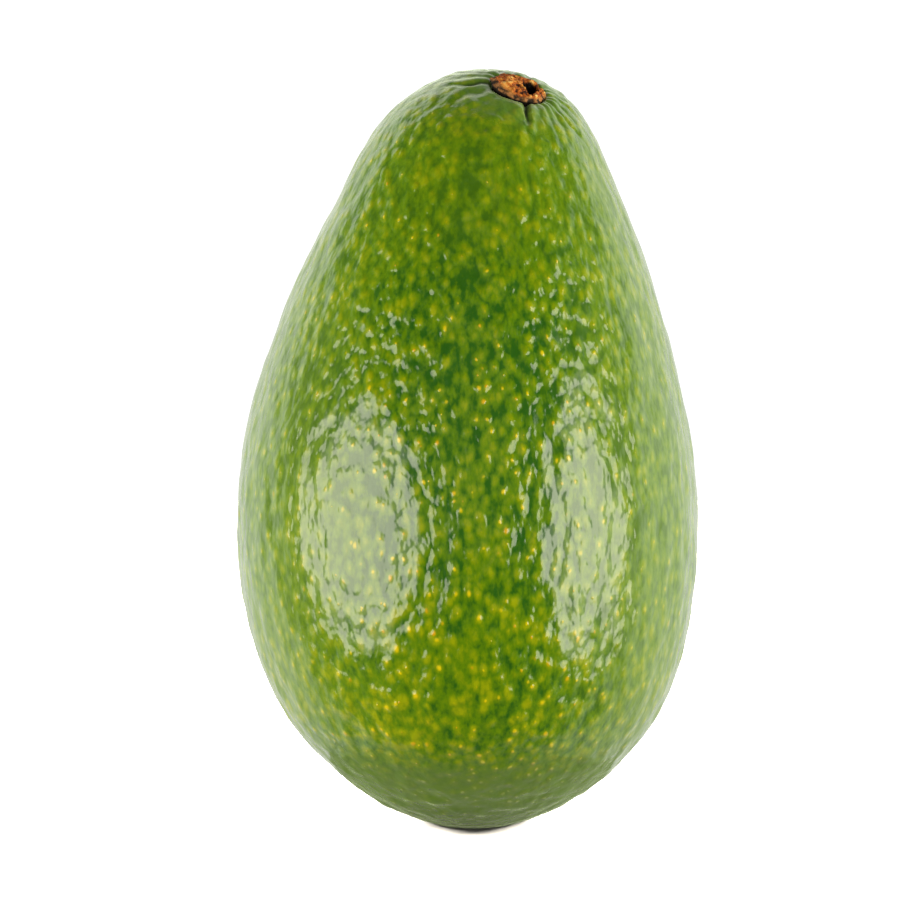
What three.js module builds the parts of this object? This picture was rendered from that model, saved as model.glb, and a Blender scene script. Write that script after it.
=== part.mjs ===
// A whole green avocado, as picked, standing on its blunt end.
//
// Millimetres, +Z up. The origin is on the surface that the fruit stands on, under the middle of
// its bounding box. +X is the fruit's right and -Y its front.
// Two pieces: the fruit, grown as one body with its skin, and the corky stub of its stalk,
// which sits in a socket at the stem end.

import * as THREE from "three";

// Driving dimensions of the fruit
const fruitHeight = 115.2;
const footSink = 1.0; // how much of the round base is lost to the flat spot it stands on
const depthShare = 0.98; // front-to-back width over side-to-side width
// Half-width in mm of the plain ellipse that would match the fruit at nine stations,
// evenly spaced in angle from the blossom end up to the stem end
const fullness = [38.1, 38.8, 39.6, 37.1, 34.2, 30.6, 28.8, 32.2, 34.9];
const baseShift = 1.1; // how far right of the belly the blossom end lies
const neckShift = 1.7; // how far right of the belly the neck lies
const neckTip = THREE.MathUtils.degToRad(5); // how far the neck's right shoulder is raised

// Driving dimensions of the stem end
const stemRight = 6.6; // from the middle of the neck to the stalk
const stemFront = 6.4;
const stalkLeanRight = THREE.MathUtils.degToRad(19);
const stalkLeanFront = THREE.MathUtils.degToRad(14);
const stubRadius = 4.3; // where the skin's lip meets it
const stubTopShare = 0.94; // its top's radius over that
const stubFootShare = 0.8;
const stubWidest = 0.3; // how far down it the lip meets it, as a share of its height
const stubWear = 0.35; // how far its edge is worn down
const lumpHeight = 0.17; // its corky lumps, about 2 mm across
const grainHeight = 0.1; // its finer grain, about 1 mm across
const socketGap = 0.35; // between the stub and the socket
const socketDepth = 2.2;
const dimpleDepth = 0.9; // how far the skin round the stalk is drawn in
const dimpleRadius = 6;
const lipRise = 0.3; // the roll of skin that closes on the stub
const lipWidth = 1.2;
const holeRadius = 1.1; // the hollow left by the torn core of the stalk
const holeDepth = 1.9;
const holeRight = 1.7;
const holeBack = 1.1;

const socketMouth = stubRadius + socketGap;

// Creases in the skin round the stalk: direction in degrees (0 is right, -90 is front),
// then depth, half-width and length in mm
const creases = [
  { toward: -78, depth: 1.0, width: 0.45, length: 4.5 },
  { toward: -44, depth: 0.4, width: 0.5, length: 4.5 },
  { toward: -20, depth: 0.35, width: 0.6, length: 6.0 },
  { toward: 4, depth: 0.35, width: 0.6, length: 6.5 },
  { toward: 32, depth: 0.35, width: 0.6, length: 5.0 },
  { toward: 74, depth: 0.4, width: 0.6, length: 4.0 },
  { toward: 118, depth: 0.45, width: 0.6, length: 4.5 },
  { toward: 152, depth: 0.45, width: 0.6, length: 5.5 },
  { toward: 178, depth: 0.8, width: 0.7, length: 7.0 },
  { toward: 204, depth: 0.45, width: 0.7, length: 8.0 },
];

// Driving dimensions of the skin's pebbles and of the blossom end's small scar under the fruit
const pebbleRise = 0.36; // where the fruit is widest
const pebbleUneven = 0.4; // share of its rise by which one pebble differs from the next
const smoothEnd = 9; // how far from the stalk the skin is drawn smooth
const smoothFoot = 4; // how high above the foot the pebbles reach their full rise
const scarRadius = 1.7;
const scarDepth = 0.6;
const scarTipRise = 0.25; // the withered tip left standing in it

// Fineness. Every third corner of a ring tops a pebble, so the first number is a multiple of 3.
const fruitSides = 78;
const stubSides = 40;
const bodySpacing = 2.75; // between rings on the body
const fineSpacing = 0.32; // between rings at the socket's mouth and at the blossom scar's edge
const spacingGrowth = 0.17; // by which the spacing grows with the distance from these

const smooth = (from, to, x) => THREE.MathUtils.smoothstep(x, from, to);
const bell = (x, width) => Math.exp(-((x / width) ** 2));

// A repeatable draw between 0 and 1 for the pebble at a place on the skin
function draw(row, column) {
  const mixed = Math.sin(row * 127.1 + column * 311.7) * 43758.5453;
  return mixed - Math.floor(mixed);
}

// A smooth curve through values evenly spaced over the angle 0..pi, level at both ends
function throughStations(values, angle) {
  const spans = values.length - 1;
  const place = Math.min((angle / Math.PI) * spans, spans - 1e-9);
  const i = Math.floor(place);
  const f = place - i;
  const at = (k) => values[spans - Math.abs(spans - Math.abs(k))];
  const [a, b, c, d] = [at(i - 1), at(i), at(i + 1), at(i + 2)];
  const bend = 2 * a - 5 * b + 4 * c - d + f * (3 * (b - c) + d - a);
  return b + 0.5 * f * (c - a + f * bend);
}

// The smooth body: an ellipse turned round the axis, made fuller or slimmer by station.
// angle runs from 0 at the blossom end to pi at the top; round is the direction about the axis.
function bodyPoint(angle, round) {
  const share = (1 - Math.cos(angle)) / 2;
  const radius = throughStations(fullness, angle) * Math.sin(angle);
  const baseShare = 1 - smooth(0, 0.45, share);
  const neckShare = smooth(0.45, 0.95, share);
  const tip = neckTip * smooth(0.7, 1, share);
  const across = radius * Math.cos(round);
  const height = (fruitHeight + footSink) * share - footSink + across * Math.sin(tip);
  return new THREE.Vector3(
    baseShift * baseShare + neckShift * neckShare + across * Math.cos(tip),
    depthShare * radius * Math.sin(round),
    Math.max(height, 0),
  );
}

// The skin's own two parameters: fromStem is 0 at the stalk and pi at the blossom end, and
// round goes about both. Within the angle slideReach of the top they slide sideways on the body,
// to meet at the stalk.
const slide = new THREE.Vector2(stemRight, -stemFront).divideScalar(fullness.at(-1));
const slideReach = 1.3;

function skinPoint(fromStem, round) {
  const pull = Math.max(1 - (fromStem / slideReach) ** 2, 0) ** 2;
  const x = fromStem * Math.cos(round) + slide.x * pull;
  const y = fromStem * Math.sin(round) + slide.y * pull;
  return bodyPoint(Math.PI - Math.hypot(x, y), Math.atan2(y, x));
}

// The outward direction square to the skin, from two short lines across it
function skinNormal(fromStem, round) {
  const step = 0.004;
  const downLine = skinPoint(fromStem + step, round).sub(skinPoint(fromStem - step, round));
  const roundLine = skinPoint(fromStem, round + step).sub(skinPoint(fromStem, round - step));
  return downLine.cross(roundLine).normalize();
}

// The stalk's own frame: its place on the smooth skin, its axis, and its right and back
const stemPlace = skinPoint(0, 0);
const stemAxis = new THREE.Vector3(
  Math.tan(stalkLeanRight),
  -Math.tan(stalkLeanFront),
  1,
).normalize();
const stemRightward = new THREE.Vector3(1, 0, 0).projectOnPlane(stemAxis).normalize();
const stemBackward = new THREE.Vector3().crossVectors(stemAxis, stemRightward);

// How far the creases sink the skin at a distance from the stalk's axis and a direction round it
function creaseDepth(distance, direction) {
  const pastLip = Math.max(distance - socketMouth - lipWidth, 0);
  let depth = 0;
  for (const crease of creases) {
    const apart = direction - THREE.MathUtils.degToRad(crease.toward);
    const turn = Math.atan2(Math.sin(apart), Math.cos(apart));
    depth += crease.depth * bell(turn * distance, crease.width) * bell(pastLip, crease.length);
  }
  return depth;
}

// The stem end's relief: a dimple, the socket for the stub, the lip round it and the creases
function stemRelief(distance, direction) {
  const outside = smooth(-socketGap, socketGap, distance - socketMouth);
  const lip = lipRise * bell(distance - socketMouth - lipWidth, lipWidth);
  const creased = creaseDepth(distance, direction) * outside;
  return lip - creased - socketDepth * (1 - outside) - dimpleDepth * bell(distance, dimpleRadius);
}

// The round scar in the middle of the blossom end
function scarRelief(distance) {
  const dish = scarDepth * (1 - smooth(scarRadius / 2, scarRadius, distance));
  const tip = scarTipRise * (1 - smooth(0, scarRadius / 2, distance));
  return dish - tip;
}

// A closed geometry from rings of points, each a half step further round than the last one
// and anticlockwise as seen from the first pole
function closedFromRings(firstPole, rings, lastPole) {
  const sides = rings[0].length;
  const points = [firstPole, ...rings.flat(), lastPole];
  const corner = (ring, k) => 1 + ring * sides + ((k + sides) % sides);
  const triangles = [];
  for (let k = 0; k < sides; k++) {
    triangles.push(0, corner(0, k), corner(0, k + 1));
    for (let ring = 0; ring < rings.length - 1; ring++) {
      triangles.push(corner(ring, k), corner(ring + 1, k - 1), corner(ring + 1, k));
      triangles.push(corner(ring, k), corner(ring + 1, k), corner(ring, k + 1));
    }
    triangles.push(corner(rings.length - 1, k), points.length - 1, corner(rings.length - 1, k + 1));
  }
  const geometry = new THREE.BufferGeometry().setFromPoints(points);
  geometry.setIndex(triangles);
  geometry.computeVertexNormals();
  return geometry;
}

const halfStepRound = (ring, k, sides) => (2 * Math.PI * (k + ring / 2)) / sides;

// Where the skin's rings lie: close together at the socket's mouth and at the blossom scar
function ringPlaces() {
  const places = [];
  const step = 0.01;
  const side = Math.PI / 4;
  let place = 0;
  while (place < Math.PI) {
    const here = skinPoint(place, side);
    const fromMouth = Math.abs(here.distanceTo(stemPlace) - socketMouth);
    const fromScar = Math.abs((Math.PI - place) * fullness[0] - scarRadius);
    const near = Math.min(fromMouth, fromScar);
    const spacing = Math.min(fineSpacing + spacingGrowth * near, bodySpacing);
    place += (spacing * step) / skinPoint(place + step, side).distanceTo(here);
    places.push(place);
  }
  return places.slice(0, -2);
}

// The rise of the skin at one corner of the net: every third corner is the top of a pebble
function pebbleRelief(ring, k) {
  const isTop = (k - ring) % 3 === 0;
  const uneven = 1 + pebbleUneven * (2 * draw(ring, k) - 1);
  return pebbleRise * ((isTop ? uneven : 0) - 1 / 3);
}

function skinCorner(place, ring, k) {
  const round = halfStepRound(ring, k, fruitSides);
  const point = skinPoint(place, round);
  if (point.z === 0) {
    point.z = scarRelief(Math.hypot(point.x - baseShift, point.y));
    return point;
  }
  const offset = point.clone().sub(stemPlace);
  const right = offset.dot(stemRightward);
  const back = offset.dot(stemBackward);
  const fromStem = Math.hypot(right, back);
  const stemEnd = point.z > fruitHeight / 2 ? stemRelief(fromStem, Math.atan2(back, right)) : 0;
  const girth = Math.hypot(point.x, point.y) / fullness[0];
  const pebbled = smooth(0, smoothFoot, point.z) * smooth(smoothEnd / 2, 2 * smoothEnd, offset.length());
  point.addScaledVector(
    skinNormal(place, round),
    stemEnd + girth * pebbled * pebbleRelief(ring, k),
  );
  point.z = Math.max(point.z, 0);
  return point;
}

function fruitGeometry() {
  const corners = Array.from({ length: fruitSides }, (_, k) => k);
  const rings = ringPlaces().map((place, ring) => corners.map((k) => skinCorner(place, ring, k)));
  const top = stemPlace.clone().addScaledVector(stemAxis, stemRelief(0, 0));
  return closedFromRings(top, rings, new THREE.Vector3(baseShift, 0, scarRelief(0)));
}

// The stub's torn top, level with the skin's smooth outline: corky lumps and grain, a worn edge
// and the hollow of its core, which is longer from front to back
function stubTop(x, y, share) {
  const lumps = lumpHeight * Math.sin(3.1 * x + 1.3 * y) * Math.sin(2.7 * y - 0.9 * x + 1);
  const grain = grainHeight * Math.sin(6.3 * x - 2.1 * y + 2) * Math.sin(5.7 * y + 1.7 * x);
  const worn = stubWear * smooth(0.75, 1, share);
  const fromHole = Math.hypot(x - holeRight, 0.75 * (y - holeBack));
  const hole = holeDepth * (1 - smooth(0.5 * holeRadius, 1.2 * holeRadius, fromHole));
  return lumps + grain - worn - hole;
}

// The stub's side, from 0 at its top edge to 1 at its foot: flaring to the lip, then narrowing
function stubSide(down) {
  if (down < stubWidest) return THREE.MathUtils.lerp(stubTopShare, 1, down / stubWidest);
  return THREE.MathUtils.lerp(1, stubFootShare, (down - stubWidest) / (1 - stubWidest));
}

// One corner of the stub. share runs from 0 in the middle of the top to 1 at its edge;
// down runs from 0 at the top edge to 1 at the foot.
function stubCorner(round, share, down) {
  const ragged = 0.98 + 0.02 * Math.sin(3 * round + 0.6) + 0.015 * Math.sin(7 * round);
  const radius = share * stubRadius * stubSide(down) * ragged;
  const x = radius * Math.cos(round);
  const y = radius * Math.sin(round);
  const foot = socketGap - socketDepth - dimpleDepth;
  return new THREE.Vector3(x, y, THREE.MathUtils.lerp(stubTop(x, y, share), foot, down));
}

function stubGeometry() {
  const topRings = 12;
  const sideRings = 4;
  const places = [];
  for (let i = 1; i <= topRings; i++) places.push([i / topRings, 0]);
  for (let i = 1; i <= sideRings; i++) places.push([1, i / sideRings]);
  places.push([0.5, 1]);
  const corners = Array.from({ length: stubSides }, (_, k) => k);
  const rings = places.map(([share, down], ring) =>
    corners.map((k) => stubCorner(halfStepRound(ring, k, stubSides), share, down)),
  );
  return closedFromRings(stubCorner(0, 0, 0), rings, stubCorner(0, 0, 1));
}

const skin = new THREE.MeshStandardMaterial({
  color: "#66871f",
  roughness: 0.32,
  metalness: 0,
});
const cork = new THREE.MeshStandardMaterial({
  color: "#a8683a",
  roughness: 0.9,
  metalness: 0,
});

const fruit = new THREE.Mesh(fruitGeometry(), skin);
fruit.name = "fruit";

const stub = new THREE.Mesh(stubGeometry(), cork);
stub.name = "stem_stub";
stub.position.copy(stemPlace);
stub.quaternion.setFromRotationMatrix(
  new THREE.Matrix4().makeBasis(stemRightward, stemBackward, stemAxis),
);

const avocado = new THREE.Group();
avocado.add(fruit, stub);

// The origin goes under the middle of the bounding box
const middle = new THREE.Box3().setFromObject(avocado, true).getCenter(new THREE.Vector3());
for (const piece of avocado.children) {
  piece.position.x -= middle.x;
  piece.position.y -= middle.y;
}

export default avocado;
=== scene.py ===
# %% [markdown]
# # A green avocado
#
# This lesson dresses a whole avocado that stands on its blunt end. The solid model gives its size
# and place; here the two pieces get a finer surface and their finish. The skin is drawn as one
# grid wrapped round the fruit, because a grown skin has no seams, and the stub of the stalk as a
# second grid, because it is a separate dry plug that sits in a socket of the fruit.

import bpy
import numpy as np
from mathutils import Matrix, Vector


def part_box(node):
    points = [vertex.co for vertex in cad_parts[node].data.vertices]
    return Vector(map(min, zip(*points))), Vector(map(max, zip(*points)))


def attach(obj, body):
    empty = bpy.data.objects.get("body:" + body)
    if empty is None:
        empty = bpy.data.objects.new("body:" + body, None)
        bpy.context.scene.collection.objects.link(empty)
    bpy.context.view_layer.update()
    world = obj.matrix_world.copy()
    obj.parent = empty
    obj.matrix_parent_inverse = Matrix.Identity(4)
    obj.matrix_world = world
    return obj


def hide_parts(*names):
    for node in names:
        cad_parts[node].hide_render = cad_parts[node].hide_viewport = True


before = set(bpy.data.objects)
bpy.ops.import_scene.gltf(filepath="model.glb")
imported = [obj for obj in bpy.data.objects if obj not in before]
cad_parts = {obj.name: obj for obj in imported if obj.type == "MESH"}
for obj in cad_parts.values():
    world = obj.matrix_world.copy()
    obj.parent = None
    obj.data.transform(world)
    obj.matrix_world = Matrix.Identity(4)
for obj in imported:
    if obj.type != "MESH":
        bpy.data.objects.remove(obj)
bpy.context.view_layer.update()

FRUIT_LOW, FRUIT_HIGH = (np.array(corner) * 1000 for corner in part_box("fruit"))
FRUIT_HEIGHT = FRUIT_HIGH[2]
print("the fruit's solid, in mm:", FRUIT_LOW.round(1), FRUIT_HIGH.round(1))

# %% [markdown]
# ## The camera
#
# The photograph looks slightly down on the fruit, from about nine degrees above level, and shows
# almost no perspective, so the lens is long and far away. The camera comes first, because every
# later choice is judged through it. It is aimed at a point left of the fruit's middle, which puts
# the fruit right of the picture's middle as in the photograph.

# %% Camera
VIEW_DISTANCE = 0.9
VIEW_TILT = np.radians(9)
AIM = Vector((-0.00266, 0, 0.05724))
PICTURE_WIDTH = 0.1368  # how much of the scene the picture spans at the fruit, in metres

camera_data = bpy.data.cameras.new("camera")
camera_data.sensor_width = 36
camera_data.lens = camera_data.sensor_width * VIEW_DISTANCE / PICTURE_WIDTH
camera = bpy.data.objects.new("camera", camera_data)
camera.location = AIM + VIEW_DISTANCE * Vector((0, -np.cos(VIEW_TILT), np.sin(VIEW_TILT)))
camera.rotation_euler = (np.pi / 2 - VIEW_TILT, 0, 0)
bpy.context.scene.collection.objects.link(camera)
bpy.context.scene.camera = camera
bpy.context.scene.view_settings.view_transform = "Standard"
print("lens in mm:", round(camera_data.lens, 1))

# %% [markdown]
# ## The body's shape
#
# An avocado is close to a shape turned on a lathe, with two differences that the eye notices: its
# blossom end and its neck lie a little to the right of the belly, and its neck is tipped. A lathe
# profile alone would look machine-made. So the body is an ellipse turned about the axis, made
# fuller or slimmer at nine stations, then shifted and tipped by height. Everything here is in
# millimetres and becomes metres when the mesh is made.

# %% Body
FULLNESS = np.array([38.1, 38.8, 39.6, 37.1, 34.2, 30.6, 28.8, 32.2, 34.9])
FOOT_SINK = 1.0
DEPTH_SHARE = 0.98
BASE_SHIFT, NECK_SHIFT = 1.1, 1.7
NECK_TIP = np.radians(5)


def smooth(low, high, x):
    """0 below low and 1 above high, with the cubic 3s^2 - 2s^3 between."""
    s = np.clip((x - low) / (high - low), 0, 1)
    return s * s * (3 - 2 * s)


def bell(x, width):
    """exp(-(x / width)^2): 1 in the middle, and nearly nothing past twice the width."""
    return np.exp(-((x / width) ** 2))


def through_stations(angle):
    """A smooth curve through FULLNESS, whose values are evenly spaced over the angles 0..pi."""
    spans = len(FULLNESS) - 1
    padded = np.concatenate([FULLNESS[1:2], FULLNESS, FULLNESS[-2:-1]])
    place = np.clip(angle / np.pi * spans, 0, spans - 1e-9)
    i = place.astype(int)
    f = place - i
    a, b, c, d = padded[i], padded[i + 1], padded[i + 2], padded[i + 3]
    bend = 2 * a - 5 * b + 4 * c - d + f * (3 * (b - c) + d - a)
    return b + 0.5 * f * (c - a + f * bend)


def body_point(angle, turn):
    """A point of the smooth body: height goes as (1 - cos angle) / 2 and radius as sin angle times
    the fullness; the middle is shifted and the ring tipped by height; the foot is cut off flat."""
    share = (1 - np.cos(angle)) / 2
    radius = through_stations(angle) * np.sin(angle)
    middle = BASE_SHIFT * (1 - smooth(0, 0.45, share)) + NECK_SHIFT * smooth(0.45, 0.95, share)
    tip = NECK_TIP * smooth(0.7, 1, share)
    across = radius * np.cos(turn)
    height = (FRUIT_HEIGHT + FOOT_SINK) * share - FOOT_SINK + across * np.sin(tip)
    return np.stack([
        middle + across * np.cos(tip),
        DEPTH_SHARE * radius * np.sin(turn),
        np.maximum(height, 0),
    ], axis=-1)


print("foot, belly and top:", body_point(np.array([0, 1.4, np.pi]), 0).round(1).tolist())

# %% [markdown]
# ## Rings that meet at the stalk
#
# The stalk doesn't grow from the very top: it sits right of it and toward the front, and all the
# folds of skin run to it. If the grid's pole stayed on top, its lines would cut across the folds.
# So near the top the grid slides sideways over the body until its pole lies under the stalk. Only
# the lines move; the body keeps its shape.

# %% Skin parameters
STEM_RIGHT, STEM_FRONT = 6.6, 6.4
SLIDE = np.array([STEM_RIGHT, -STEM_FRONT]) / FULLNESS[-1]
SLIDE_REACH = 1.3


def skin_point(down, turn):
    """A point of the smooth skin: down is 0 at the stalk and pi at the blossom end, and turn goes
    round both. The plane polar place (down, turn) is moved by SLIDE times (1 - (down/reach)^2)^2
    before it is read as an angle from the top and a direction about the axis."""
    pull = np.maximum(1 - (down / SLIDE_REACH) ** 2, 0) ** 2
    x = down * np.cos(turn) + SLIDE[0] * pull
    y = down * np.sin(turn) + SLIDE[1] * pull
    return body_point(np.pi - np.hypot(x, y), np.arctan2(y, x))


def skin_normal(down, turn, step=0.004):
    """The unit vector square to the smooth skin: the cross product of two short lines on it."""
    down_line = skin_point(down + step, turn) - skin_point(down - step, turn)
    turn_line = skin_point(down, turn + step) - skin_point(down, turn - step)
    square = np.cross(down_line, turn_line)
    return square / np.maximum(np.linalg.norm(square, axis=-1, keepdims=True), 1e-12)


STEM_PLACE = skin_point(np.array(0.0), np.array(0.0))
print("the stalk grows at", STEM_PLACE.round(2))

# %% [markdown]
# ## Where the rings lie
#
# The skin needs a ring every 0.6 mm on the belly, but every 0.15 mm at the lip round the stalk,
# where it turns down steeply. The distance along the skin is divided by the spacing that is
# wanted there; equal steps of that sum give the rings. The same trick works for any curve that
# needs more points in one place than in another.

# %% Ring places
RINGS, SIDES = 270, 366
SOCKET_MOUTH = 4.35
SCAR_RADIUS, SCAR_DEPTH, SCAR_TIP = 1.7, 0.6, 0.25


def ring_places():
    """Values of down for the rings, and the distance along the skin to each, in mm."""
    down = np.linspace(0, np.pi, 6001)
    line = skin_point(down, np.pi / 4)
    along = np.concatenate([[0], np.cumsum(np.linalg.norm(np.diff(line, axis=0), axis=1))])
    from_mouth = np.abs(np.linalg.norm(line - STEM_PLACE, axis=1) - SOCKET_MOUTH)
    from_scar = np.abs(along[-1] - along - SCAR_RADIUS)
    wanted = np.minimum(0.15 + 0.05 * from_mouth, 0.2 + 0.1 * from_scar)
    wanted = np.minimum(wanted, 0.6)
    ticks = np.concatenate([[0], np.cumsum(np.diff(along) / wanted[1:])])
    places = np.interp(np.linspace(0, ticks[-1], RINGS + 2)[1:-1], ticks, down)
    return places, np.interp(places, down, along)


DOWN, ALONG = ring_places()
TURN = np.linspace(0, 2 * np.pi, SIDES, endpoint=False)
GRID_DOWN, GRID_TURN = np.meshgrid(DOWN, TURN, indexing="ij")
SKIN = skin_point(GRID_DOWN, GRID_TURN)
NORMAL = skin_normal(GRID_DOWN, GRID_TURN)
print("rings", len(DOWN), "of", SIDES, "points; skin from stalk to blossom", ALONG[-1].round(1), "mm")

# %% [markdown]
# ## Random swells
#
# Nothing that grew is regular. To break up folds, pebbles and crumbs, random heights are set on a
# lattice and blended smoothly between its corners, with cells as wide and as tall as is wanted.

# %% Swells
LATTICE = 64  # how many cells there are each way before the heights repeat


def swells(points, size, seed):
    """Random heights from -1 to 1 on a lattice of cells of the given size, blended by the smooth
    cubic in each direction."""
    heights = np.random.default_rng(seed).uniform(-1, 1, (LATTICE, LATTICE, LATTICE))
    place = points / np.array(size)
    cell = np.floor(place).astype(int)
    f = place - cell
    f = f * f * (3 - 2 * f)
    total = np.zeros(points.shape[:-1])
    for corner in np.ndindex(2, 2, 2):
        weight = np.prod(np.where(corner, f, 1 - f), axis=-1)
        x, y, z = np.moveaxis((cell + corner) % LATTICE, -1, 0)
        total += weight * heights[x, y, z]
    return total


print("swells at three points:", swells(SKIN[40, :3], (2, 2, 2), 1).round(2))

# %% [markdown]
# ## The stem end
#
# Where the stalk was, the skin dips, rolls over into a socket and is gathered in folds, as cloth
# is by a drawstring. The relief is a sum of simple shapes of the distance from the stalk and the
# direction round it: a wide dimple, a steep socket, a rolled lip and one narrow groove for each
# crease. Directions and depths follow the photograph in front; behind they are a guess.

# %% Stem relief
LEAN_RIGHT, LEAN_FRONT = np.radians(19), np.radians(14)
SOCKET_GAP, SOCKET_DEPTH = 0.35, 2.2
DIMPLE_DEPTH, DIMPLE_RADIUS = 0.9, 6
LIP_RISE, LIP_WIDTH = 0.3, 1.2
# Each crease: direction in degrees (0 is right, -90 is front), then depth, half-width, length
CREASES = [
    (-78, 0.75, 0.4, 3.0), (-60, 0.12, 0.35, 3.0), (-46, 0.2, 0.4, 4.0), (-33, 0.12, 0.3, 4.5),
    (-20, 0.3, 0.4, 6.0), (-8, 0.18, 0.3, 5.0), (4, 0.3, 0.4, 7.0), (18, 0.2, 0.35, 5.0),
    (32, 0.28, 0.5, 5.0), (52, 0.15, 0.4, 4.0), (74, 0.4, 0.6, 4.0), (98, 0.2, 0.4, 4.0),
    (118, 0.35, 0.5, 4.5), (141, 0.3, 0.6, 5.0), (160, 0.3, 0.7, 5.0), (180, 0.6, 0.85, 4.5),
    (206, 0.35, 1.0, 6.0), (229, 0.15, 1.1, 4.0),
]
CREASE_WAVE = 0.03  # how far a crease swings to either side on its way out, in radians

STEM_AXIS = np.array([np.tan(LEAN_RIGHT), -np.tan(LEAN_FRONT), 1.0])
STEM_AXIS /= np.linalg.norm(STEM_AXIS)
STEM_RIGHTWARD = np.array([1.0, 0, 0]) - STEM_AXIS[0] * STEM_AXIS
STEM_RIGHTWARD /= np.linalg.norm(STEM_RIGHTWARD)
STEM_BACKWARD = np.cross(STEM_AXIS, STEM_RIGHTWARD)


def crease_depth(distance, direction):
    """A sum of grooves: each is a bell across its own direction, which swings a little from side
    to side with the distance, and each fades past the lip."""
    past_lip = np.maximum(distance - SOCKET_MOUTH - LIP_WIDTH, 0)
    depth = np.zeros_like(distance)
    for toward, deep, width, length in CREASES:
        apart = direction - np.radians(toward) - CREASE_WAVE * np.sin(0.7 * distance + toward)
        aside = np.arctan2(np.sin(apart), np.cos(apart)) * distance
        depth += deep * bell(aside, width) * bell(past_lip, length)
    return depth


def stem_relief(distance):
    """Lip, less socket and dimple, in mm above the smooth skin."""
    outside = smooth(-SOCKET_GAP, SOCKET_GAP, distance - SOCKET_MOUTH)
    lip = LIP_RISE * bell(distance - SOCKET_MOUTH - LIP_WIDTH, LIP_WIDTH)
    socket = SOCKET_DEPTH * (1 - outside)
    return lip - socket - DIMPLE_DEPTH * bell(distance, DIMPLE_RADIUS)


offset = SKIN - STEM_PLACE
FROM_STEM = np.hypot(offset @ STEM_RIGHTWARD, offset @ STEM_BACKWARD)
FROM_STEM = np.where(SKIN[..., 2] > FRUIT_HEIGHT / 2, FROM_STEM, 100)
STEM_TURN = np.arctan2(offset @ STEM_BACKWARD, offset @ STEM_RIGHTWARD)
STEM_TURN = STEM_TURN + 0.1 * swells(SKIN, (3, 3, 3), 13)
CREASED = crease_depth(FROM_STEM, STEM_TURN) * smooth(-0.3, 0.3, FROM_STEM - SOCKET_MOUTH)
CREASED = CREASED * (1 + 0.5 * swells(SKIN, (2.2, 2.2, 2.2), 14) * smooth(5.2, 7, FROM_STEM))
print("deepest crease", CREASED.max().round(2), "mm")

# %% [markdown]
# ## Pebbles and ripeness
#
# The skin is covered in soft pebbles, two to three millimetres wide and drawn out along the
# fruit, on top of slower swells. They fade out at the folds and at the foot. The green isn't even
# either: it is yellower low on the belly and on the neck, darker between them and most of all on
# the front of the shoulder, and it drifts from place to place. That drift is kept with the mesh
# as ripeness.

# %% Pebble relief and ripeness
RIGHT, BACK, HEIGHT = np.moveaxis(SKIN, -1, 0)
FADE = smooth(SOCKET_MOUTH + 1, 16, FROM_STEM) * smooth(0, 5, HEIGHT)
PEBBLES = swells(SKIN, (1.8, 1.8, 4.4), 11)
LUMPS = swells(SKIN, (6.5, 6.5, 13), 12)
RIPE = 0.5 * swells(SKIN, (9, 9, 16), 15)
RIPE += bell(HEIGHT - 22, 14) + 0.6 * bell(HEIGHT - 98, 18)
RIPE -= 0.4 * bell(HEIGHT - 58, 14) + bell(HEIGHT - 83, 12) * bell(RIGHT - 4, 14)
print("pebbles from", PEBBLES.min().round(2), "to", PEBBLES.max().round(2))

# %% [markdown]
# ## From numbers to a mesh
#
# A grid of points becomes faces by joining each point to the next one round and the next ring
# down. The first and the last ring close in a fan on a single point, so the surface has no hole.
# The attributes carry what the colour needs to know about the shape.

# %% Mesh helpers
def closed_mesh(name, first, grid, last):
    """A closed mesh from a first pole, rings of points and a last pole, in millimetres."""
    rings, sides = grid.shape[:2]
    points = np.concatenate([first[None], grid.reshape(-1, 3), last[None]]) / 1000
    index = 1 + np.arange(rings * sides).reshape(rings, sides)
    beside = np.roll(index, -1, axis=1)
    quads = np.stack([index[:-1], index[1:], beside[1:], beside[:-1]], axis=-1).reshape(-1, 4)
    top = np.stack([np.zeros_like(index[0]), index[0], beside[0]], axis=-1)
    bottom = np.stack([index[-1], np.full_like(index[0], len(points) - 1), beside[-1]], axis=-1)
    mesh = bpy.data.meshes.new(name)
    mesh.from_pydata(points.tolist(), [], top.tolist() + quads.tolist() + bottom.tolist())
    mesh.shade_smooth()
    piece = bpy.data.objects.new(name, mesh)
    bpy.context.scene.collection.objects.link(piece)
    print(name, "has", len(points), "points and", 2 * len(quads) + 2 * sides, "triangles")
    return piece


def keep(piece, name, grid):
    """Stores a number for each point with the mesh; a pole takes its ring's average."""
    values = np.concatenate([[grid[0].mean()], grid.ravel(), [grid[-1].mean()]])
    piece.data.attributes.new(name, "FLOAT", "POINT").data.foreach_set("value", values)


# %% [markdown]
# ## The fruit
#
# All the reliefs are added along the skin's own direction outward, with fine wrinkles round the
# stalk and just above the foot. The foot stays flat, because the flesh has settled there, and its
# middle holds the small round scar that the blossom left. The finished skin is set in the middle
# of the solid fruit that it replaces.

# %% Fruit
wrinkles = 0.15 * swells(SKIN, (1.3, 1.3, 1.3), 16) * bell(FROM_STEM - 9, 6)
wrinkles += 0.12 * swells(SKIN, (2.6, 2.6, 0.9), 17) * bell(HEIGHT - 6, 5)
pebbled = FADE * 0.15 * (PEBBLES + LUMPS)
relief = stem_relief(FROM_STEM) - CREASED + wrinkles + pebbled
fruit_grid = SKIN + NORMAL * relief[..., None]
from_scar = np.hypot(RIGHT - BASE_SHIFT, BACK)
dish = SCAR_DEPTH * (1 - smooth(SCAR_RADIUS / 2, SCAR_RADIUS, from_scar))
tip = SCAR_TIP * (1 - smooth(0, SCAR_RADIUS / 2, from_scar))
fruit_grid[..., 2] = np.where(HEIGHT == 0, dish - tip, np.maximum(fruit_grid[..., 2], 0))

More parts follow.
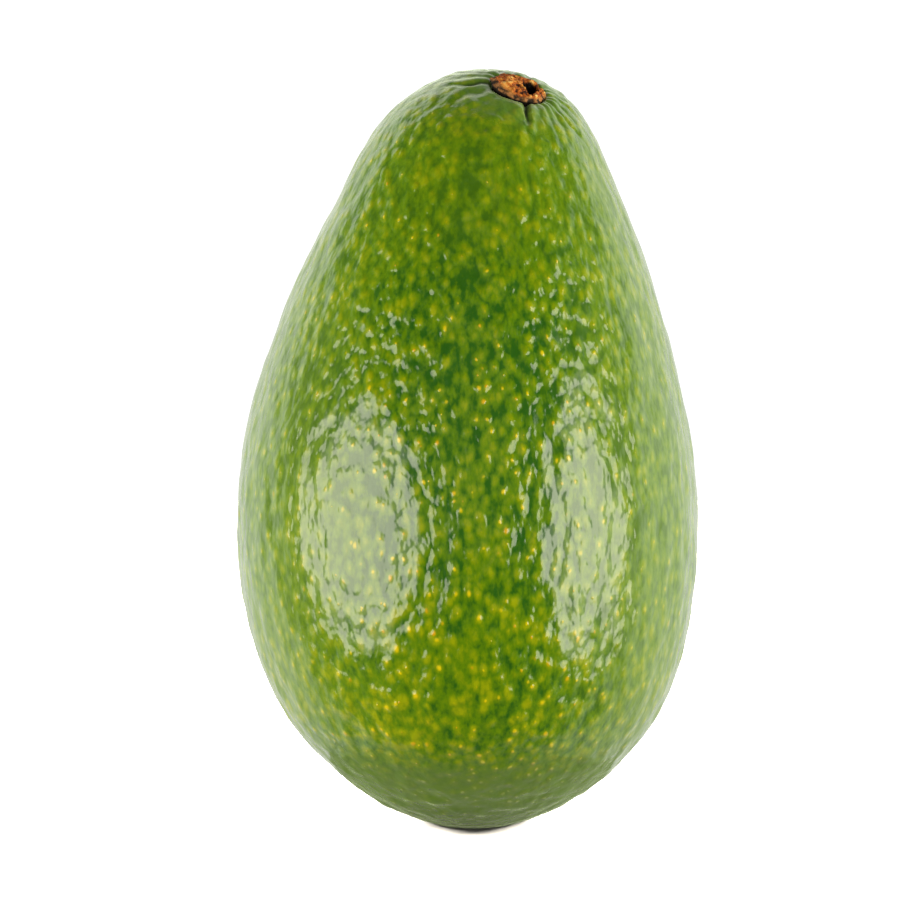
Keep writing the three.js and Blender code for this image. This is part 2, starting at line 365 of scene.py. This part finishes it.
middle = (fruit_grid.min((0, 1)) + fruit_grid.max((0, 1))) / 2
solid_middle = (FRUIT_LOW + FRUIT_HIGH) / 2
SHIFT = np.array([*(solid_middle - middle)[:2], 0])
top = STEM_PLACE - STEM_AXIS * (SOCKET_DEPTH + DIMPLE_DEPTH)
bottom = np.array([BASE_SHIFT, 0, SCAR_DEPTH - SCAR_TIP])
fruit = closed_mesh("avocado_fruit", top + SHIFT, fruit_grid + SHIFT, bottom + SHIFT)
keep(fruit, "ripe", RIPE)
keep(fruit, "crease", CREASED)
keep(fruit, "from_stem", FROM_STEM)
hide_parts("fruit")
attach(fruit, "root")

# %% [markdown]
# ## The stub of the stalk
#
# The stalk broke off at the fruit and left a plug of dry cork: ragged lumps round a torn hollow.
# It is drawn from the middle of its top out to the edge, then down its side to the foot. The
# hollow is an oval step down near the right edge. The rim stands higher behind it, so that the
# camera looks into it, and at the left, where more bark is left on. Swells of three sizes give a
# crumbled surface, strong enough to break up its outline.

# %% Stub
STUB_RADIUS = 4.3
STUB_TOP, STUB_FLARE, STUB_FOOT, STUB_WIDEST = 0.86, 1.02, 0.8, 0.34
STUB_WEAR, STUB_BACK_RISE, STUB_LEFT_RISE = 0.4, 0.3, 0.3
HOLE_RIGHT, HOLE_BACK, HOLE_DEPTH = 1.6, 0.1, 2.4
HOLE_HALF_WIDTH, HOLE_HALF_LENGTH = 1.35, 2.6
TOP_RINGS, SIDE_RINGS, STUB_SIDES = 80, 40, 240


def stub_point(share, drop, turn):
    """share goes from 0 to 1 across the top, drop from 0 at its edge to 1 at the foot. The side
    flares to the lip and then narrows; the hollow's depth is returned too."""
    side = np.where(
        drop < STUB_WIDEST,
        STUB_TOP + (STUB_FLARE - STUB_TOP) * drop / STUB_WIDEST,
        STUB_FLARE + (STUB_FOOT - STUB_FLARE) * (drop - STUB_WIDEST) / (1 - STUB_WIDEST),
    )
    ragged = 0.97 + 0.02 * np.sin(3 * turn + 0.6) + 0.02 * np.sin(7 * turn) + 0.015 * np.sin(13 * turn)
    radius = share * STUB_RADIUS * side * ragged
    x, y = radius * np.cos(turn), radius * np.sin(turn)
    from_hole = np.hypot((x - HOLE_RIGHT) / HOLE_HALF_WIDTH, (y - HOLE_BACK) / HOLE_HALF_LENGTH)
    from_hole = from_hole + 0.12 * np.sin(5 * np.arctan2(y - HOLE_BACK, x - HOLE_RIGHT))
    hole = HOLE_DEPTH * (1 - smooth(0.7, 1.0, from_hole))
    rise = STUB_BACK_RISE * smooth(0, 4, y) * smooth(-1, 3, x) + STUB_LEFT_RISE * smooth(0, -4, x)
    rim = rise - STUB_WEAR * smooth(0.75, 1, share) - hole
    floor = SOCKET_GAP - SOCKET_DEPTH - DIMPLE_DEPTH
    return np.stack([x, y, rim + drop * (floor - rim)], axis=-1), hole


stub_steps = np.concatenate([np.linspace(0.01, 1, TOP_RINGS), np.ones(SIDE_RINGS), [0.5]])
stub_drops = np.concatenate([np.zeros(TOP_RINGS), np.linspace(0.02, 1, SIDE_RINGS), [1]])
stub_turn = np.linspace(0, 2 * np.pi, STUB_SIDES, endpoint=False)
stub_grid, hollow = stub_point(stub_steps[:, None], stub_drops[:, None], stub_turn[None, :])
crumb_place = stub_grid + 40  # any other place on the lattice would do as well
crumbs = 0.24 * swells(crumb_place, (1.1, 1.1, 1.1), 31)
crumbs += 0.15 * swells(crumb_place, (0.55, 0.55, 0.55), 32)
crumbs += 0.09 * swells(crumb_place, (0.28, 0.28, 0.28), 33)
loose = 1 - smooth(0.5, 0.8, stub_drops)[:, None]
out = 0.8 * smooth(0.8, 1, stub_steps)[:, None]
up = 1 - smooth(0, 0.3, stub_drops)[:, None]
push = np.broadcast_arrays(out * np.cos(stub_turn), out * np.sin(stub_turn), up)
stub_grid = stub_grid + np.stack(push, axis=-1) * (crumbs * loose)[..., None]
axes = np.stack([STEM_RIGHTWARD, STEM_BACKWARD, STEM_AXIS])
placed = stub_grid @ axes + STEM_PLACE + SHIFT
stub = closed_mesh("stem_stub_cork", placed[0].mean(0), placed, placed[-1].mean(0))
keep(stub, "crumb", crumbs)
keep(stub, "hollow", hollow)
keep(stub, "drop", stub_drops[:, None] * np.ones_like(crumbs))
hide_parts("stem_stub")
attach(stub, "root")

# %% [markdown]
# ## Node helpers
#
# A material is a small graph. These helpers keep each graph readable: one adds a node and joins
# its inputs, the others name the few sums that the finishes are made of. Colours are given as they
# look in the photograph. There the lamps are so strong that white paper burns out, so a surface's
# own colour is darker than it looks, by the light that falls on it.

# %% Node helpers
PAPER_LIGHT = 1.3  # how bright white paper would look on the belly, where 1 is pure white


def add(tree, kind, inputs=(), **settings):
    """Adds a node, sets its settings, and joins or fills the named or numbered inputs."""
    node = tree.nodes.new("ShaderNode" + kind)
    for name, value in settings.items():
        setattr(node, name, value)
    for name, value in dict(inputs).items():
        if isinstance(value, bpy.types.NodeSocket):
            tree.links.new(value, node.inputs[name])
        else:
            node.inputs[name].default_value = value
    return node


def attribute(tree, name):
    """A number that was kept with the mesh."""
    return add(tree, "Attribute", attribute_name=name).outputs["Fac"]


def math(tree, operation, a, b=0.0):
    """One sum of two numbers or sockets, such as "ADD" or "MULTIPLY"."""
    return add(tree, "Math", {0: a, 1: b}, operation=operation).outputs[0]


def weighted_sum(tree, parts):
    """The sum of some sockets, each times its own weight."""
    total = 0.0
    for socket, weight in parts:
        total = math(tree, "ADD", total, math(tree, "MULTIPLY", socket, weight))
    return total


def less(tree, share, mask):
    """1 - share * mask: a factor that lowers something where the mask is white."""
    return math(tree, "SUBTRACT", 1.0, math(tree, "MULTIPLY", mask, share))


def ramp(tree, value, low, high, at_low, at_high):
    """at_low up to low and at_high from high on, straight between."""
    inputs = {"Value": value, "From Min": low, "From Max": high, "To Min": at_low, "To Max": at_high}
    return add(tree, "MapRange", inputs).outputs[0]


def ease(tree, value, low, high):
    """0 at low and 1 at high, smooth between. low may be the larger of the two."""
    inputs = {"Value": value, "From Min": low, "From Max": high}
    return add(tree, "MapRange", inputs, interpolation_type="SMOOTHSTEP").outputs[0]


def mix(tree, share, a, b):
    """Colour a where share is 0 and colour b where it is 1. The mix node numbers its colour inputs
    6 and 7, after those for numbers and vectors, and its colour output 2."""
    return add(tree, "Mix", {0: share, 6: a, 7: b}, data_type="RGBA").outputs[2]


def colour(red, green, blue):
    """A colour as it looks in the photograph, from 0 to 255, turned into the surface's own: the
    light that it stands for, less what the lamps add to plain paper."""
    c = np.array([red, green, blue]) / 255
    light = np.where(c <= 0.04045, c / 12.92, ((c + 0.055) / 1.055) ** 2.4)
    return (*(light / PAPER_LIGHT).tolist(), 1.0)


def millimetres(tree, size, stretch=1.0, seed=0.0):
    """The object's own coordinates in steps of size mm, stretch times as long up and down. They
    are turned a little, so that no row of the pattern runs level round the fruit."""
    place = add(tree, "TexCoord").outputs["Object"]
    steps = 1000 / size
    inputs = {"Vector": place, "Scale": (steps, steps, steps / stretch), "Rotation": (0.5, 0.4, 0.3)}
    inputs["Location"] = (seed, seed * 0.7, seed * 1.3)
    return add(tree, "Mapping", inputs).outputs[0]


def noise(tree, size, stretch=1.0, detail=2.0, seed=0.0):
    """Cloudy noise from 0 to 1 whose clouds are about size mm across."""
    inputs = {"Vector": millimetres(tree, size, stretch, seed), "Scale": 1.0, "Detail": detail}
    return add(tree, "TexNoise", inputs).outputs[0]


def new_material(name):
    """An empty material, its graph and the shader in it."""
    material = bpy.data.materials.new(name)
    material.use_nodes = True
    tree = material.node_tree
    return material, tree, tree.nodes["Principled BSDF"]


print("a green as the surface's own colour:", np.round(colour(92, 130, 0), 3))

# %% [markdown]
# ## Skin
#
# Up close the green isn't one colour. The skin is pebbled, and on each pebble sits a lenticel, a
# yellow pore that the skin breathes through. A pebble is yellow-green round its pore, and the
# valleys between the pebbles are a blue-green net drawn out along the fruit. So pores, pebbles
# and net all come from one Voronoi pattern in space: its cells are the pebbles and their seeds
# the pores. The skin cuts some cells near the seed and others off it, which gives dots of uneven
# size for nothing. They are fainter at the foot and near the stalk, and on the flanks, where a
# paler green is painted on as a sheen. A thin natural wax gives the shine.

# %% Pebbles and lenticels
CELL, CELL_STRETCH = 1.6, 1.35  # mm across a pebble, and how much longer it is


def pebble_masks(tree, height):
    """Four masks from 0 to 1: pebble top, pale halo, yellow dot, and how orange the dot is."""
    place = millimetres(tree, CELL, CELL_STRETCH)
    bent = add(tree, "TexNoise", {"Vector": place, "Scale": 1.1, "Detail": 1.0}).outputs["Color"]
    bent = add(tree, "VectorMath", {0: bent, "Scale": 0.35}, operation="SCALE").outputs[0]
    place = add(tree, "VectorMath", {0: place, 1: bent}, operation="ADD").outputs[0]
    cells = add(tree, "TexVoronoi", {"Vector": place, "Scale": 1.0})
    inputs = {"Vector": place, "Scale": 1.0, "Smoothness": 0.6}
    soft = add(tree, "TexVoronoi", inputs, feature="SMOOTH_F1").outputs["Distance"]
    luck = add(tree, "SeparateColor", {0: cells.outputs["Color"]}).outputs
    radius = ramp(tree, luck[0], 0.0, 1.0, 0.04, 0.23)
    radius = math(tree, "MULTIPLY", radius, ramp(tree, height, 0.04, 0.09, 1.15, 0.7))
    share = math(tree, "DIVIDE", cells.outputs["Distance"], radius)
    return (
        ease(tree, soft, 0.75, 0.0),
        ease(tree, cells.outputs["Distance"], 0.75, 0.1),
        ease(tree, share, 1.25, 0.3),
        ease(tree, luck[1], 0.6, 1.0),
    )


print("pebbles round the belly:", round(np.pi * (FRUIT_HIGH[0] - FRUIT_LOW[0]) / CELL))

# %% [markdown]
# ## The skin's finish
#
# A painted picture wrapped round the fruit would smear where it closes at both ends. Masks worked
# out from the place in space don't, so they choose among a few greens in turn, from the dark net
# to the pale top of a pebble. The wax is thin and uneven: its gloss varies a little everywhere,
# and the gathered folds round the stalk are duller.

# %% Skin material
def skin_green(tree, halo, foot, flank_sheen, neck):
    """The green round the dots: net and pebbles, softer on the neck and even at the foot, with painted
    sheen as paler flanks and greyer skin round the stalk, and painted shade in the creases."""
    stroke = noise(tree, 1.3, stretch=2.6, detail=5.0, seed=3.0)
    patch = noise(tree, 9.0, stretch=1.6, seed=7.0)
    speck = noise(tree, 0.5, stretch=1.5, seed=4.0)
    ripe = attribute(tree, "ripe")
    parts = [(stroke, 0.92), (halo, 0.33), (patch, 0.3), (ripe, 0.1), (speck, 0.28)]
    light = weighted_sum(tree, parts)
    green = mix(tree, ease(tree, light, 0.62, 0.9), colour(40, 92, 12), colour(92, 130, 0))
    green = mix(tree, ease(tree, light, 0.84, 1.27), green, colour(152, 164, 0))
    green = mix(tree, math(tree, "MULTIPLY", neck, 0.3), green, colour(104, 134, 8))
    # Painted sheen: the left and right flanks are painted a paler yellow-green, standing in for the
    # white surroundings mirrored there and the side light.
    green = mix(tree, math(tree, "MULTIPLY", flank_sheen, 0.4), green, colour(122, 146, 22))
    green = mix(tree, foot, green, colour(88, 118, 12))
    # Painted sheen: within about ten mm of the stalk, the green is painted greyer for the light
    # mirrored on the rolled lip.
    stem_sheen = ease(tree, attribute(tree, "from_stem"), 10.0, 5.0)
    green = mix(tree, math(tree, "MULTIPLY", stem_sheen, 0.6), green, colour(92, 126, 50))
    # Painted shade: the creases are painted a dark grey-green, the deeper ones darker, for the shade
    # in the grooves.
    crease = ease(tree, attribute(tree, "crease"), 0.2, 0.75)
    return mix(tree, crease, green, colour(44, 62, 26))


def skin_relief(tree, pebble, dot, height, flank_sheen):
    """The height of the fine relief: pebbles, lumps between them and dots that stand out a little;
    calmer low on the fruit and on its flanks."""
    lump = noise(tree, 2.2, stretch=1.8, seed=9.0)
    relief = weighted_sum(tree, [(pebble, 0.17), (lump, 0.6), (dot, 0.04)])
    relief = math(tree, "MULTIPLY", relief, ramp(tree, height, 0.045, 0.075, 0.75, 1.0))
    return math(tree, "MULTIPLY", relief, less(tree, 0.35, flank_sheen))


def skin_material():
    """Dots over the green, a gloss that varies a little and is duller at the folds, and a wax."""
    material, tree, shader = new_material("avocado_skin")
    place = add(tree, "SeparateXYZ", {0: add(tree, "TexCoord").outputs["Object"]}).outputs
    height = place["Z"]
    pebble, halo, dot, orange = pebble_masks(tree, height)
    foot = math(tree, "MULTIPLY", ease(tree, height, 0.0185, 0.01), 0.85)
    # How far to the side the skin lies. This is where the paler green is painted as a sheen, and where
    # the dots and relief are calmer.
    flank_sheen = ease(tree, math(tree, "ABSOLUTE", place["X"]), 0.009, 0.029)
    green = skin_green(tree, halo, foot, flank_sheen, ease(tree, height, 0.082, 0.1))
    clear = ease(tree, attribute(tree, "from_stem"), 9.0, 20.0)
    clear = math(tree, "MULTIPLY", clear, less(tree, 0.5, foot))
    # The dots fade under the painted sheen on the flanks.
    clear = math(tree, "MULTIPLY", clear, less(tree, 0.7, flank_sheen))
    gold = mix(tree, orange, colour(226, 202, 8), colour(214, 166, 16))
    gold = mix(tree, foot, gold, colour(150, 172, 92))
    skin = mix(tree, math(tree, "MULTIPLY", dot, clear), green, gold)
    tree.links.new(skin, shader.inputs["Base Color"])

    rough = ramp(tree, noise(tree, 1.6, detail=3.0, seed=5.0), 0.0, 1.0, 0.1, 0.22)
    folds = ease(tree, attribute(tree, "from_stem"), 14.0, 6.0)
    rough = math(tree, "ADD", rough, math(tree, "MULTIPLY", folds, 0.2))
    tree.links.new(rough, shader.inputs["Roughness"])
    relief = skin_relief(tree, pebble, dot, height, flank_sheen)
    bump = add(tree, "Bump", {"Height": relief, "Distance": 0.001})
    tree.links.new(bump.outputs[0], shader.inputs["Normal"])
    shader.inputs["Specular IOR Level"].default_value = 0.75
    shader.inputs["Coat Weight"].default_value = 0.5
    shader.inputs["Coat Roughness"].default_value = 0.1
    shader.inputs["Sheen Weight"].default_value = 0.35
    shader.inputs["Sheen Roughness"].default_value = 0.4
    shader.inputs["Sheen Tint"].default_value = (0.8, 1.0, 0.5, 1.0)
    return material


fruit.data.materials.append(skin_material())
print("skin nodes:", len(fruit.data.materials[0].node_tree.nodes))

# %% [markdown]
# ## Cork
#
# Dry cork is orange where it broke fresh and golden on the crumbs that stand out. The height of
# the crumbs chooses the colour, so that colour and shape agree: the cracks are painted dark brown
# as painted shade and the highest crumbs a pale gold as painted light. The hollow and the side
# below the lip are painted almost black as painted shade. There is no shine.

# %% Cork material
def cork_material():
    """Cork on the top and bark on the side, with painted shade: black in the hollow and almost black
    below the lip.
    """
    material, tree, shader = new_material("stalk_cork")
    crumb = attribute(tree, "crumb")
    grain = noise(tree, 0.6, detail=4.0, seed=2.0)
    height = weighted_sum(tree, [(crumb, 0.9), (grain, 1.0)])
    # Painted shade and light by crumb height: the low crumbs and cracks are darker, down to dark
    # brown, and the highest crumbs are the palest gold.
    cork = mix(tree, ease(tree, height, 0.3, 0.48), colour(58, 26, 6), colour(182, 92, 18))
    cork = mix(tree, ease(tree, height, 0.5, 0.68), cork, colour(222, 142, 48))
    cork = mix(tree, ease(tree, height, 0.68, 0.88), cork, colour(250, 208, 116))
    weathered = noise(tree, 0.9, detail=4.0, seed=6.0)
    bark = mix(tree, ease(tree, weathered, 0.4, 0.62), colour(44, 28, 12), colour(176, 118, 60))
    cork = mix(tree, ease(tree, attribute(tree, "drop"), 0.02, 0.2), cork, bark)
    # Painted shade: the stub's side below the lip, down in the socket, is painted almost black.
    cork = mix(tree, ease(tree, attribute(tree, "drop"), 0.25, 0.45), cork, colour(26, 18, 10))
    # Painted shade: the hollow is painted black.
    cork = mix(tree, ease(tree, attribute(tree, "hollow"), 0.1, 0.7), cork, colour(10, 5, 3))
    tree.links.new(cork, shader.inputs["Base Color"])
    bump = add(tree, "Bump", {"Height": grain, "Strength": 1.0, "Distance": 0.0004})
    tree.links.new(bump.outputs[0], shader.inputs["Normal"])
    shader.inputs["Roughness"].default_value = 0.85
    return material


stub.data.materials.append(cork_material())
print("cork nodes:", len(stub.data.materials[0].node_tree.nodes))

# %% [markdown]
# ## Studio
#
# The fruit stands on a pale table in white surroundings, with a large oval light low on
# each side of the camera. Glossy skin shows what stands round it, so the space round the camera
# is nearly black: that leaves the middle of the fruit in its full colour, between two broad
# highlights. Fill lights from the front and the sides lift the colour and aren't mirrored in the
# wax. Two lamps on the table alone burn it out to white, apart from the contact shadow. So only
# the camera sees the table: the fruit would mirror it far too brightly, and the ovals have to
# reach down below it. What the fruit sees instead is a small mat under its foot, without those
# lamps: it greys the underside and darkens the skin where the two meet.

# %% Floor and lights
TARGET = Vector((0, 0, 0.055))


def disc(name, radius, height, shade):
    """A round board of the given shade from 0 to 1, which is part of the stage."""
    turn = np.linspace(0, 2 * np.pi, 96, endpoint=False)
    edge = np.stack([radius * np.cos(turn), radius * np.sin(turn), height + 0 * turn], axis=-1)
    mesh = bpy.data.meshes.new(name)
    mesh.from_pydata(edge.tolist(), [], [list(range(len(turn)))])
    board = bpy.data.objects.new(name, mesh)
    bpy.context.scene.collection.objects.link(board)
    material, _, shader = new_material(name)
    shader.inputs["Base Color"].default_value = (shade, shade, shade, 1)
    shader.inputs["Roughness"].default_value = 0.9
    mesh.materials.append(material)
    return board


def soft_light(name, side, rise, width, height, radiance, mirrored=True, distance=0.9):
    """An oval light facing the fruit. side and rise are its direction in degrees, to the right of
    the camera's and above the horizon; radiance is its brightness, where 1 is pure white. The
    lights that the wax mirrors are slightly warm."""
    data = bpy.data.lights.new(name, "AREA")
    data.shape = "ELLIPSE"
    data.size, data.size_y = width, height
    data.energy = radiance * np.pi * (np.pi / 4 * width * height)
    data.color = (1.0, 0.93, 0.8) if mirrored else (1.0, 1.0, 1.0)
    lamp = bpy.data.objects.new(name, data)
    side, rise = np.radians(side), np.radians(rise)
    toward = Vector((np.sin(side) * np.cos(rise), -np.cos(side) * np.cos(rise), np.sin(rise)))
    lamp.location = TARGET + distance * toward
    lamp.rotation_euler = toward.to_track_quat("Z", "Y").to_euler()
    lamp.visible_camera = False
    lamp.visible_glossy = mirrored
    bpy.context.scene.collection.objects.link(lamp)
    return lamp


def light_only(lamp, thing):
    """Makes a lamp shine on one thing alone."""
    lit = bpy.data.collections.new("lit_by_" + lamp.name)
    lit.objects.link(thing)
    lamp.light_linking.receiver_collection = lit


def surroundings():
    """Nearly black in front, white at the sides and behind, and grey below. The picture's own
    background stays white from every side."""
    world = bpy.data.worlds.new("surroundings")
    bpy.context.scene.world = world
    world.use_nodes = True
    tree = world.node_tree
    tree.nodes.clear()
    direction = add(tree, "TexCoord").outputs["Generated"]
    axes = add(tree, "SeparateXYZ", {0: direction}).outputs
    behind = math(tree, "ADD", axes["Y"], math(tree, "MULTIPLY", axes["X"], 0.14))
    behind = math(tree, "SUBTRACT", behind, math(tree, "MULTIPLY", axes["Z"], 0.32))
    below = ramp(tree, axes["Z"], -0.7, -0.2, 0.45, 1.0)
    white = math(tree, "MULTIPLY", ease(tree, behind, 0.05, 0.4), below)
    strength = math(tree, "ADD", math(tree, "MULTIPLY", white, 0.87), 0.01)
    seen = add(tree, "LightPath").outputs["Is Camera Ray"]
    strength = math(tree, "MAXIMUM", strength, math(tree, "MULTIPLY", seen, 1.2))
    paper = add(tree, "Background", {"Color": (1, 1, 1, 1), "Strength": strength})
    tree.links.new(paper.outputs[0], add(tree, "OutputWorld").inputs[0])


table = disc("floor", 0.3, 0, 0.15)
table.visible_diffuse = table.visible_glossy = table.visible_shadow = False
mat = disc("mat", 0.03, -0.0002, 0.2)
mat.visible_camera = False
soft_light("left_light", -55, -5, 1.15, 0.82, 3.9)
soft_light("right_light", 59, -5, 0.7, 0.82, 4.2)
soft_light("front_fill", 0, 14, 0.9, 0.9, 2.2, mirrored=False)
soft_light("left_fill", -100, 0, 0.9, 0.9, 4.4, mirrored=False)
soft_light("right_fill", 90, 10, 0.9, 0.9, 5.2, mirrored=False)
light_only(soft_light("left_table_lamp", -88, 22, 0.3, 0.3, 1200.0), table)
light_only(soft_light("right_table_lamp", 88, 22, 0.3, 0.3, 1200.0), table)
surroundings()
